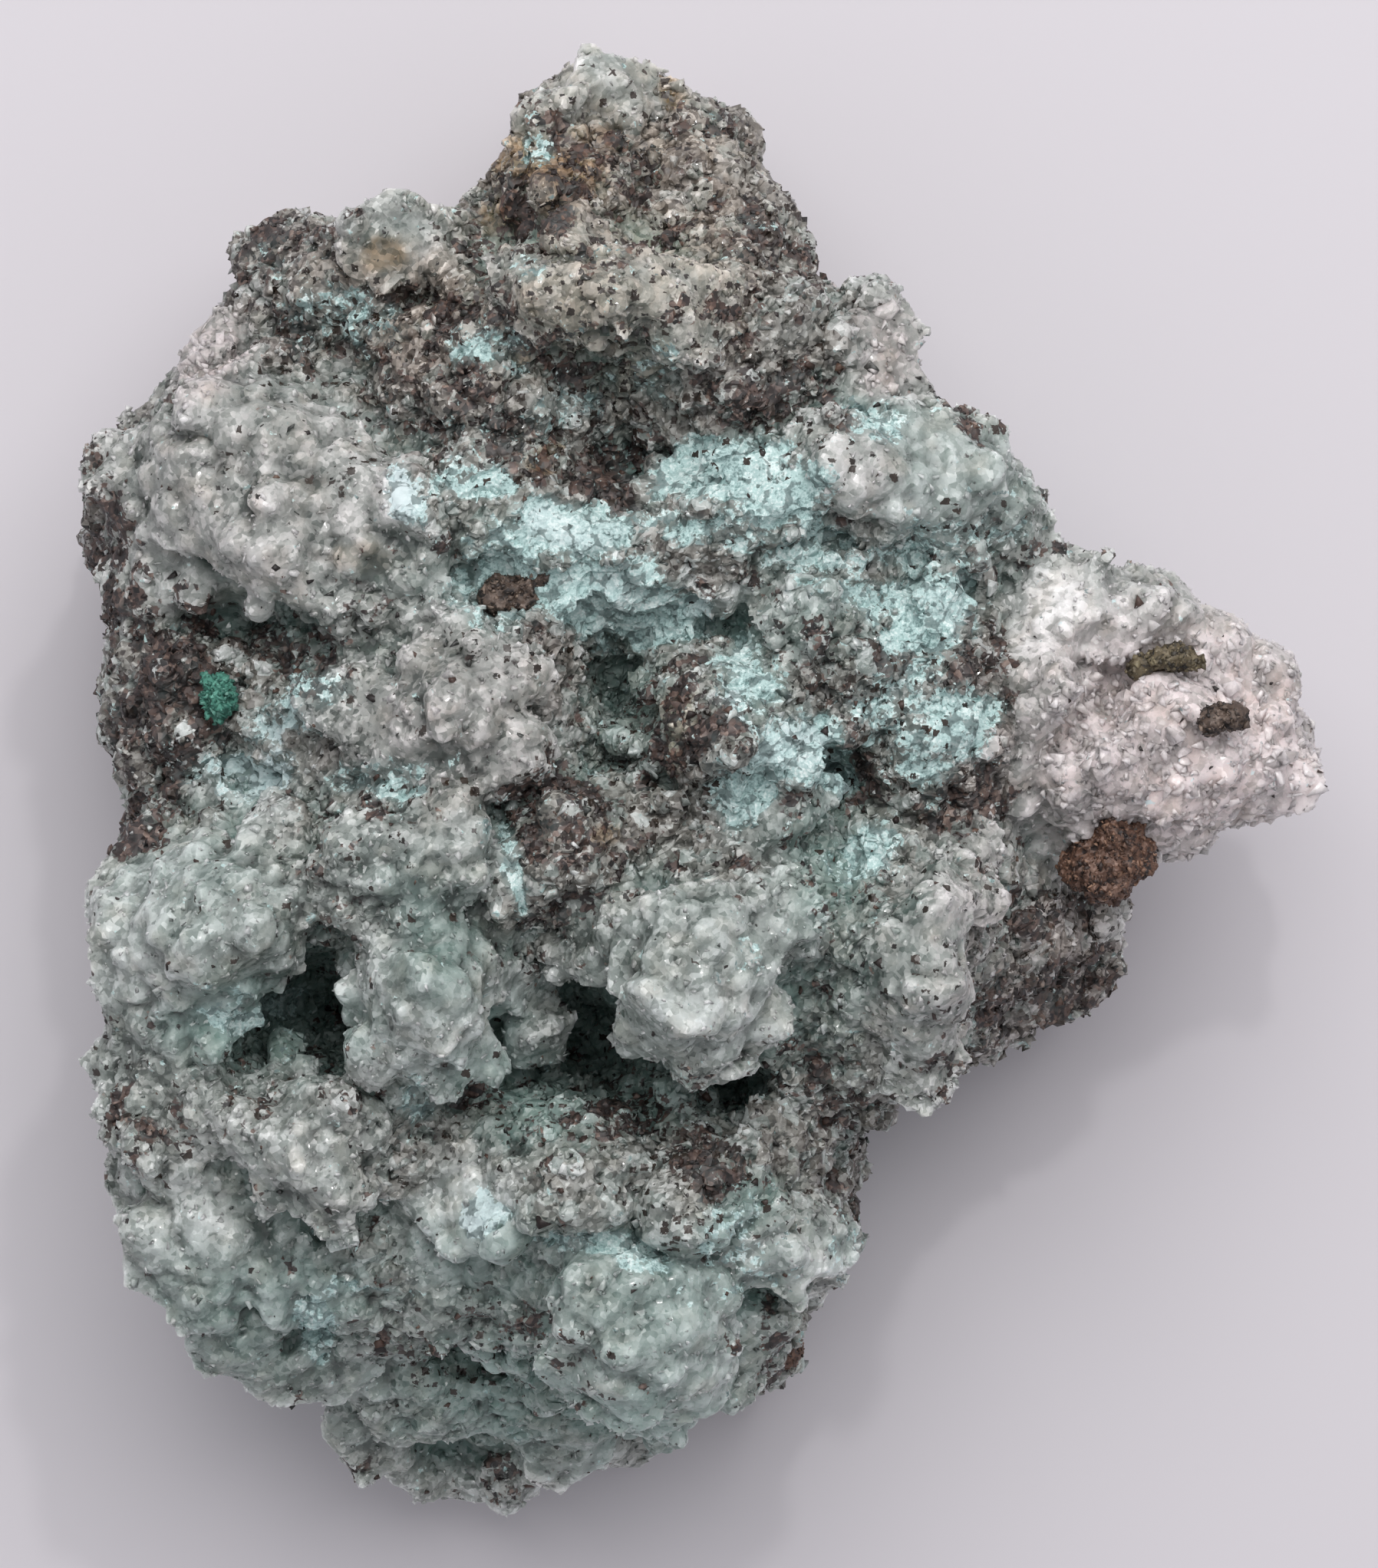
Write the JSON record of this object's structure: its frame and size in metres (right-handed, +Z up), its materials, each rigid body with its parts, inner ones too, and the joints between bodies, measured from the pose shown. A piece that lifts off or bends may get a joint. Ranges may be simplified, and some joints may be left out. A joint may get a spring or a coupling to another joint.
{
  "type": "mineral specimen",
  "caption": "Hand-sized mineral specimen: glassy white aragonite masses and pale turquoise aurichalcite crusts on dark, pitted iron oxide matrix, lying on a flat broken back.",
  "frame": {"origin": "on the flat broken back that it lies on, a little right of that face's middle", "axes": "+Z up out of the display face, +Y towards the pointed top, +X towards the wing of white crystal"},
  "size_m": [0.074, 0.0871, 0.0416],
  "materials": {
    "matrix": "rough, porous iron oxide",
    "aragonite": "glassy, translucent, sugary crystal",
    "aurichalcite": "chalky, flaky, faintly pearly",
    "goethite": "dull brown, granular",
    "rosasite": "velvety"
  },
  "bodies": {
    "root": {"aragonite_bottom_lobe": "aragonite", "aragonite_bottom_shelf": "aragonite", "aragonite_centre_mass": "aragonite", "aragonite_centre_overhang": "aragonite", "aragonite_centre_ridge": "aragonite", "aragonite_centre_right": "aragonite", "aragonite_left_block": "aragonite", "aragonite_left_glitter": "aragonite", "aragonite_left_mass": "aragonite", "aragonite_left_overhang": "aragonite", "aragonite_lower_left_fringe": "aragonite", "aragonite_lower_left_shells": "aragonite", "aragonite_lower_right_lobe": "aragonite", "aragonite_lower_roll": "aragonite", "aragonite_right_lobes": "aragonite", "aragonite_right_shoulder": "aragonite", "aragonite_right_upper_lump": "aragonite", "aragonite_top_cap": "aragonite", "aragonite_under_crust": "aragonite", "aragonite_upper_left_lump": "aragonite", "aragonite_upper_left_roll": "aragonite", "aragonite_upper_roll": "aragonite", "aragonite_wing": "aragonite", "aurichalcite_crust_band": "aurichalcite", "aurichalcite_crust_centre": "aurichalcite", "aurichalcite_crust_face": "aurichalcite", "aurichalcite_crust_left": "aurichalcite", "aurichalcite_crust_middle": "aurichalcite", "aurichalcite_crust_right": "aurichalcite", "aurichalcite_crust_upper": "aurichalcite", "goethite_centre_clast": "goethite", "goethite_low_clast": "goethite", "goethite_nugget": "goethite", "goethite_wing_chip": "goethite", "goethite_wing_sliver": "goethite", "matrix": "matrix", "rosasite_tuft": "rosasite"}
  },
  "joints": []
}
